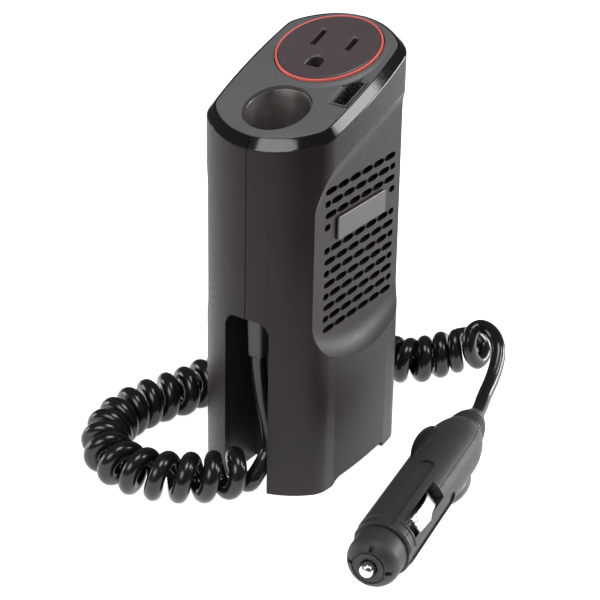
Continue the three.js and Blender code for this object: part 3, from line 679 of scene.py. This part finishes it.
def add_shell(name, side):
    """One half of the case, made on the +X side and mirrored for the left. Its bevel is polished."""
    shell = case_blank()
    boolean(shell, [block("half", (GAP / 2, -60, -5), (60, 60, 200))], "INTERSECT")
    cutters = [panel_cutter(), *case_cavities(), *vent_slots(side > 0), foot_relief(), bay_mouth()]
    cutters.append(block("liner_room", (-10.15, -31.6, -5), (10.15, -13.7, 65.7)))
    if side > 0:
        cutters.append(usb_pocket())
    else:
        cutters += [screw_counterbore(y, z) for y, z in SCREWS]
    boolean(shell, cutters)
    if side < 0:
        shell.data.transform(Matrix.Scale(-1, 4, (1, 0, 0)))
        shell.data.flip_normals()
    shell.name = name + "_moulding"
    finish_piece(shell, CASE, "inverter", "case_plastic", name)
    shell.data.materials.append(CASE_POLISHED)
    for face in shell.data.polygons:
        below_rim = DECK_Z + face.center.y / MM * math.tan(SLOPE) - face.center.z / MM
        face.material_index = int(below_rim < BEVEL_DROP)
    return smooth(shell)


add_shell("right_shell", 1)
add_shell("left_shell", -1)


# ---- badge ----
def add_badge():
    """A blank raised plate with a fine frame line."""
    outline = rounded_rectangle(BADGE["length"], BADGE["height"], 0.8)
    place = Matrix.Translation((PANEL_X, BADGE["y"], BADGE["z"])) @ ACROSS
    plate = extrude("badge", outline, 0.05, 0.9, place)
    return finish_piece(rounded(plate, 0.25), PANEL_BADGE, "inverter", "outlet_plastic", "badge_plate")


add_badge()


# ---- deck ----
def add_deck():
    """The grey plate with its three holes, each with an eased edge."""
    rings = [(2.95, DECK_THICKNESS - GAP), (2.95, 0.3), (3.0, 0.1), (3.15, 0)]
    plate = loft("deck", [case_ring(inset, DECK_Z - drop) for inset, drop in rings])
    socket_hole = [(SOCKET_HOLE, -9), (SOCKET_HOLE, DECK_TOP - 0.45), (SOCKET_HOLE + 0.12, DECK_TOP - 0.15)]
    socket_hole += [(SOCKET_HOLE + 0.45, DECK_TOP + 0.01), (SOCKET_HOLE + 0.45, 5)]
    to_socket = TO_DECK @ Matrix.Translation((0, SOCKET_V, 0))
    outlet_hole = lathe("hole", [(OUTLET_HOLE, -9), (OUTLET_HOLE, 5)], 128, TO_DECK)
    boolean(plate, [outlet_hole, lathe("hole", socket_hole, 128, to_socket), usb_recess()])
    return smooth(finish_piece(plate, DECK, "inverter", "deck_plastic", "top_plate"), 28)


def add_lip():
    """The soft rim of the deck round the outlet, held inside the deck's edge."""
    profile = [(OUTLET_HOLE, -0.6), (OUTLET_HOLE, 0.4), (18.35, 0.58), (18.8, 0.66), (19.3, 0.56)]
    profile += [(19.9, 0.28), (20.4, 0.06), (20.9, -0.02), (20.9, -0.6)]
    lip = lathe("deck_lip", [(r, n + DECK_TOP) for r, n in profile], 128, TO_DECK, closed=True)
    boolean(lip, [loft("limit", [case_ring(3.0, DECK_Z - 2), case_ring(3.0, DECK_Z + 5)])], "INTERSECT")
    return smooth(finish_piece(lip, DECK, "inverter", "deck_plastic"), 45)


def usb_recess():
    """The port's opening with slanting sides that lead in to it."""
    to_port = TO_DECK @ Matrix.Translation((USB_X, USB_V, 0))
    sizes = [(6.1, 13.5, -9), (6.1, 13.5, DECK_TOP - 1.3), (8.0, 15.6, DECK_TOP + 0.01), (8.0, 15.6, 5)]
    rings = [[(x, y, z) for x, y in rounded_rectangle(w, h, 0.4, 3)] for w, h, z in sizes]
    return loft("recess", rings, to_port)


add_deck()
add_lip()


# ---- outlet ----
HOT = {"x": 6.35, "v": 3.8, "length": 6.6}
NEUTRAL = {"x": -6.35, "v": 3.8, "length": 8.2}
GROUND_V = -8.1
GROUND_RADIUS = 2.6


def lead_in(outline, grow, depth, matrix):
    """A cutter that widens a hole's mouth from its own outline at depth to a larger one at the face."""
    middle = Vector((0, sum(y for _, y in outline) / len(outline)))
    wide = []
    for x, y in outline:
        away = Vector((x, y)) - middle
        wide.append(middle + away + Vector((math.copysign(grow, away.x), math.copysign(grow, away.y))))
    sections = [(outline, -depth), (wide, 0), (wide, 1)]
    return loft("lead_in", [[(x, y, z) for x, y in points] for points, z in sections], matrix)


def add_outlet():
    """The round block with two blade slots and the ground hole."""
    edge = OUTLET_RADIUS - RING_WIDTH - 0.12
    profile = [(13.8, -15), (13.8, -4.4), (edge, -4.4), (edge, -0.5), (edge - 0.12, -0.18)]
    profile.append((edge - 0.5, 0))
    face = lathe("outlet", profile, 128, TO_DECK)
    cutters = []
    for slot in (HOT, NEUTRAL):
        outline = rounded_rectangle(2, slot["length"], 0.15, 2)
        place = TO_DECK @ Matrix.Translation((slot["x"], slot["v"], 0))
        cutters += [lead_in(outline, 0.55, 0.5, place), extrude("slot", outline, -12, -0.2, place)]
    r = GROUND_RADIUS
    arch = [(-r, -r), (r, -r), *arc(0, 0, r, 0, math.pi, 24)]
    place = TO_DECK @ Matrix.Translation((0, GROUND_V, 0))
    cutters += [lead_in(arch, 0.5, 0.5, place), extrude("ground", arch, -12, -0.2, place)]
    boolean(face, cutters)
    return smooth(finish_piece(face, OUTLET, "inverter", "outlet_plastic", "outlet_face"), 25)


def add_ring():
    inner, outer = OUTLET_RADIUS - RING_WIDTH, OUTLET_RADIUS
    outer_edge = [(outer, -0.5), (outer - 0.1, -0.24), (outer - 0.3, -0.12)]
    inner_edge = [(inner + 0.3, -0.12), (inner + 0.1, -0.24), (inner, -0.5)]
    profile = [(inner, -3.2), (outer, -3.2), *outer_edge, *inner_edge]
    ring = lathe("coral_ring", profile, 128, TO_DECK, closed=True)
    return smooth(finish_piece(ring, RING, "inverter", "ring_plastic", "outlet_ring"), 50)


add_outlet()
add_ring()


# ---- 12 V socket ----
def add_barrel():
    """A rolled steel liner with a turned-in rim."""
    inner, outer = BARREL_RADIUS, BARREL_RADIUS + BARREL_WALL
    top = DECK_TOP - BARREL_SUNK
    profile = [(inner, -SOCKET_DEPTH), (outer, -SOCKET_DEPTH), (outer, top - 0.2), (outer - 0.15, top)]
    profile += [(inner + 0.15, top), (inner, top - 0.2)]
    to_socket = TO_DECK @ Matrix.Translation((0, SOCKET_V, 0))
    barrel = lathe("barrel", profile, 96, to_socket, closed=True)
    return smooth(finish_piece(barrel, BARREL, "inverter", "brushed_metal", "dc_socket_barrel"), 50)


add_barrel()


# ---- vehicle plug, its heights measured from the end of the boot where the lead goes in ----
BODY_RADIUS = 10.2
WING_START, WING_LENGTH, WING_BASE = 25, 24, 8.6
LEAF_THICKNESS = 0.7


def on_plug(name, profile, sides=96, closed=False):
    return lathe(name, profile, sides, TO_PLUG, closed)


def add_relief():
    """The tapered boot on the lead, with three turned grooves."""
    profile = [(0, 0), (3.1, 0), (3.4, 0.3)]
    for z in (7.2, 9.4, 11.6):
        r = 3.4 + 3.6 * math.sin(z / 14 * math.pi / 2)
        profile += [(r - 0.1, z - 0.45), (r - 0.7, z - 0.25), (r - 0.7, z + 0.25), (r + 0.1, z + 0.45)]
    profile += [(7.0, 13.7), (6.8, 14), (0, 14)]
    boot = on_plug("boot", profile)
    return smooth(finish_piece(boot, PLUG, "inverter", "plug_plastic", "plug_strain_relief"), 35)


def body_profile():
    """The body of the plug: a shoulder that swells from the boot, a straight barrel and a collar."""
    neck, r = 7.4, BODY_RADIUS
    shoulder = []
    for t in range(9):
        shoulder.append((neck + (r - neck) * math.sin(t * math.pi / 16), 14.5 + 13.8 * (t / 8) ** 1.15))
    end = [(r, 86.6), (r - 0.35, 87), (r - 0.35, 90.2), (r - 0.8, 90.9)]
    return [(0, 14.3), (7.2, 14.3), *shoulder, *end, (0, 91)]


def body_cutters():
    """Finger grooves, the side contacts' windows and the bore for the fuse."""
    cutters = []
    for angle in (45, 135, 225, 315):
        outward = Matrix.Rotation(math.radians(angle), 4, "Z") @ Matrix.Rotation(-math.pi / 2, 4, "X")
        place = TO_PLUG @ outward @ Matrix.Translation((0, -71, BODY_RADIUS - 0.9))
        cutters.append(extrude("groove", rounded_rectangle(4.6, 41, 2.2, 8), 0, 4, place))
    for near, far in ((5.4, 20), (-20, -5.4)):
        cutters.append(block("window", (near, -3.1, 60), (far, 3.1, 86), TO_PLUG))
    cutters.append(on_plug("bore", [(0, 55), (4.4, 55), (4.4, 95), (0, 95)], 32))
    return cutters


def add_plug_halves():
    for side, node in ((1, "plug_half_left"), (-1, "plug_half_right")):
        half = on_plug("plug_shell", body_profile())
        low, high = sorted((side * GAP / 3, side * 30))
        boolean(half, [block("side", (-30, low, 0), (30, high, 200), TO_PLUG)], "INTERSECT")
        boolean(half, body_cutters())
        half.name = node + "_moulding"
        smooth(finish_piece(half, PLUG, "inverter", "plug_plastic", node), 30)


def add_wings():
    """Oval finger grips that swell out of the body near the lead, in a darker copy of the plug's plastic
    that paints the shade they sit in.
    """
    for side, name in ((1, "grip_left"), (-1, "grip_right")):
        rings = []
        for i in range(25):
            t = i / 24
            z = WING_START + WING_LENGTH * t
            swell = math.sin(math.pi * t ** 0.8) ** 0.6
            half, rise = 3.4 * swell + 0.05, 4.4 * swell
            angles = [math.pi * k / 16 for k in range(17)]
            section = [(half * math.cos(a), WING_BASE + rise * math.sin(a) ** 0.8) for a in angles]
            rings.append([(-side * x, side * y, z) for x, y in section])
        grip = loft(name, rings, TO_PLUG)
        smooth(finish_piece(grip, PLUG_SHADED, "inverter", "plug_plastic"), 50)


def add_nose():
    """The screwed cap that holds the fuse: a rounded rim, a turned groove and four notches."""
    profile = [(2.6, 91.3), (8.7, 91.3), (8.7, 97.2), (8.55, 98.2), (8.0, 99.6), (7.2, 100.7), (6.4, 101.3)]
    profile += [(5.7, 101.6), (5.5, 101.2), (5.1, 101.2), (4.9, 101.75)]
    profile += [(3.4, 101.7), (3.0, 101.5), (2.6, 101)]
    nose = on_plug("nose", profile, closed=True)
    notches = []
    for quarter in range(4):
        turn = Matrix.Rotation(math.radians(45 + 90 * quarter), 4, "Z")
        notches.append(block("notch", (5.6, -0.7, 100.2), (9, 0.7, 104), TO_PLUG @ turn))
    boolean(nose, notches)
    return smooth(finish_piece(nose, PLUG, "inverter", "plug_plastic", "plug_nose_cap"), 40)


def add_tip():
    """The sprung tip, whose collar stops it in the cap."""
    collar = [(0, 95.7), (3.6, 95.7), (3.6, 97.7), (2.3, 97.7)]
    crown = [(2.3, 103.2), (2.1, 104), (1.5, 104.5), (0.7, 104.7), (0, 104.7)]
    tip = on_plug("tip", collar + crown, 48)
    return smooth(finish_piece(tip, BRIGHT, "tip", "bright_metal", "plug_tip"), 60)


def add_side_contact(way, body, node):
    """A sprung leaf that swells out of its window and has a flat raised end."""
    line = [(61, 6.4), (63.5, 8.1), (66, 9.6), (69, 10.6), (73, 11.4)]
    line += [(76.5, 12.3), (78, 12.6), (80.5, 12.1), (84, 11.2)]
    rings = []
    for z, radius in line:
        half = 2.6 if z > 76 else 2.2
        face, back = way * radius, way * (radius - LEAF_THICKNESS)
        rings.append([(face, -half, z), (face, half, z), (back, half, z), (back, -half, z)])
    leaf = loft(node + "_leaf", rings, TO_PLUG)
    return smooth(finish_piece(rounded(leaf, 0.15), BRIGHT, body, "bright_metal", node), 30)


add_relief()
add_plug_halves()
add_wings()
add_nose()
add_tip()
add_side_contact(1, "contact_upper", "plug_side_contact_upper")
add_side_contact(-1, "contact_lower", "plug_side_contact_lower")


# ---- pieces that keep their CAD shape ----
FINISHES = {
    "hot_contact": BRASS,
    "neutral_contact": BRASS,
    "ground_contact": BRASS,
    "dc_socket_housing": BLACK,
    "dc_socket_contact": BRASS,
    "usb_shell": BRIGHT,
    "usb_tongue": BLACK,
    "cord_bay_liner": BLACK,
    "cord_gland": GLAND,
    "plug_fuse": GLASS,
    "plug_tip_spring": STEEL,
    "main_board": BOARD,
    "transformer_core": FERRITE,
    "transformer_winding": TAPE,
    "capacitor_1": CAN,
    "capacitor_2": CAN,
    "capacitor_3": CAN,
    "heat_sink": ALUMINIUM,
    "fan_frame": BLACK,
    "fan_rotor": BLACK,
    "case_screw_1": STEEL,
    "case_screw_2": STEEL,
    "case_screw_3": STEEL,
}
for node, material in FINISHES.items():
    nodes[node].data.materials.clear()
    nodes[node].data.materials.append(material)
rounded(nodes["cord_gland"], 0.4)


# ---- floor, light and surroundings ----
def add_floor():
    """A plain floor that glows a little, so that it stays pale beside dark plastic."""
    floor = block("floor", (-3000, -3000, -6), (3000, 3000, -0.02))
    material, tree, shader = new_material("floor_white", (0.88, 0.88, 0.88), 0.9)
    shader.inputs["Emission Color"].default_value = (1, 1, 1, 1)
    shader.inputs["Emission Strength"].default_value = 0.95
    floor.data.materials.append(material)


def add_softbox(name, azimuth, elevation, distance, width, height, power):
    """A rectangular lamp that faces the case. Azimuth 0 is in front (-Y) and 90 at the +X side."""
    data = bpy.data.lights.new(name, "AREA")
    data.shape = "RECTANGLE"
    data.size, data.size_y = width, height
    data.energy = power
    lamp = bpy.data.objects.new(name, data)
    a, e = math.radians(azimuth), math.radians(elevation)
    back = Vector((math.sin(a) * math.cos(e), -math.cos(a) * math.cos(e), math.sin(e)))
    lamp.location = Vector((0, 0, 0.07)) + back * distance
    lamp.rotation_mode = "QUATERNION"
    lamp.rotation_quaternion = (-back).to_track_quat("-Z", "Y")
    lamp.visible_camera = False
    bpy.context.scene.collection.objects.link(lamp)


def add_flag(name, azimuth, distance, width, height):
    """A black card that stands on the floor, seen only in reflections, and darkens what faces it."""
    turn = Matrix.Rotation(math.radians(azimuth), 4, "Z")
    card = block(name, (-width / 2, -distance, 1), (width / 2, 2 - distance, height), turn)
    card.data.materials.append(new_material(name, (0.01, 0.01, 0.01), 0.9)[0])
    card.visible_camera = False


def add_world():
    """White where the camera looks past the object, and a dim studio for all other light."""
    world = bpy.data.worlds.new("studio")
    world.use_nodes = True
    tree = world.node_tree
    dim = tree.nodes["Background"]
    dim.inputs["Color"].default_value = (1, 1, 1, 1)
    dim.inputs["Strength"].default_value = 0.12
    white = tree.nodes.new("ShaderNodeBackground")
    white.inputs["Strength"].default_value = 1
    path = tree.nodes.new("ShaderNodeLightPath")
    mix = tree.nodes.new("ShaderNodeMixShader")
    tree.links.new(path.outputs["Is Camera Ray"], mix.inputs[0])
    tree.links.new(dim.outputs[0], mix.inputs[1])
    tree.links.new(white.outputs[0], mix.inputs[2])
    tree.links.new(mix.outputs[0], tree.nodes["World Output"].inputs["Surface"])
    bpy.context.scene.world = world


bpy.context.scene.view_settings.view_transform = "Standard"
add_floor()
add_world()
add_flag("near_flag", 48, 190, 200, 80)
add_flag("far_flag", 48, 330, 360, 170)
add_softbox("front_softbox", -10, 37, 1.1, 0.6, 0.45, 4.5)
add_softbox("left_softbox", -75, 6, 1.2, 0.4, 0.35, 2.5)
add_softbox("right_softbox", 119, 38, 1.1, 0.24, 0.4, 3)
add_softbox("low_softbox", 140, 6, 1.2, 0.5, 0.3, 9)
add_softbox("top_softbox", 60, 80, 1.2, 0.5, 0.5, 6)
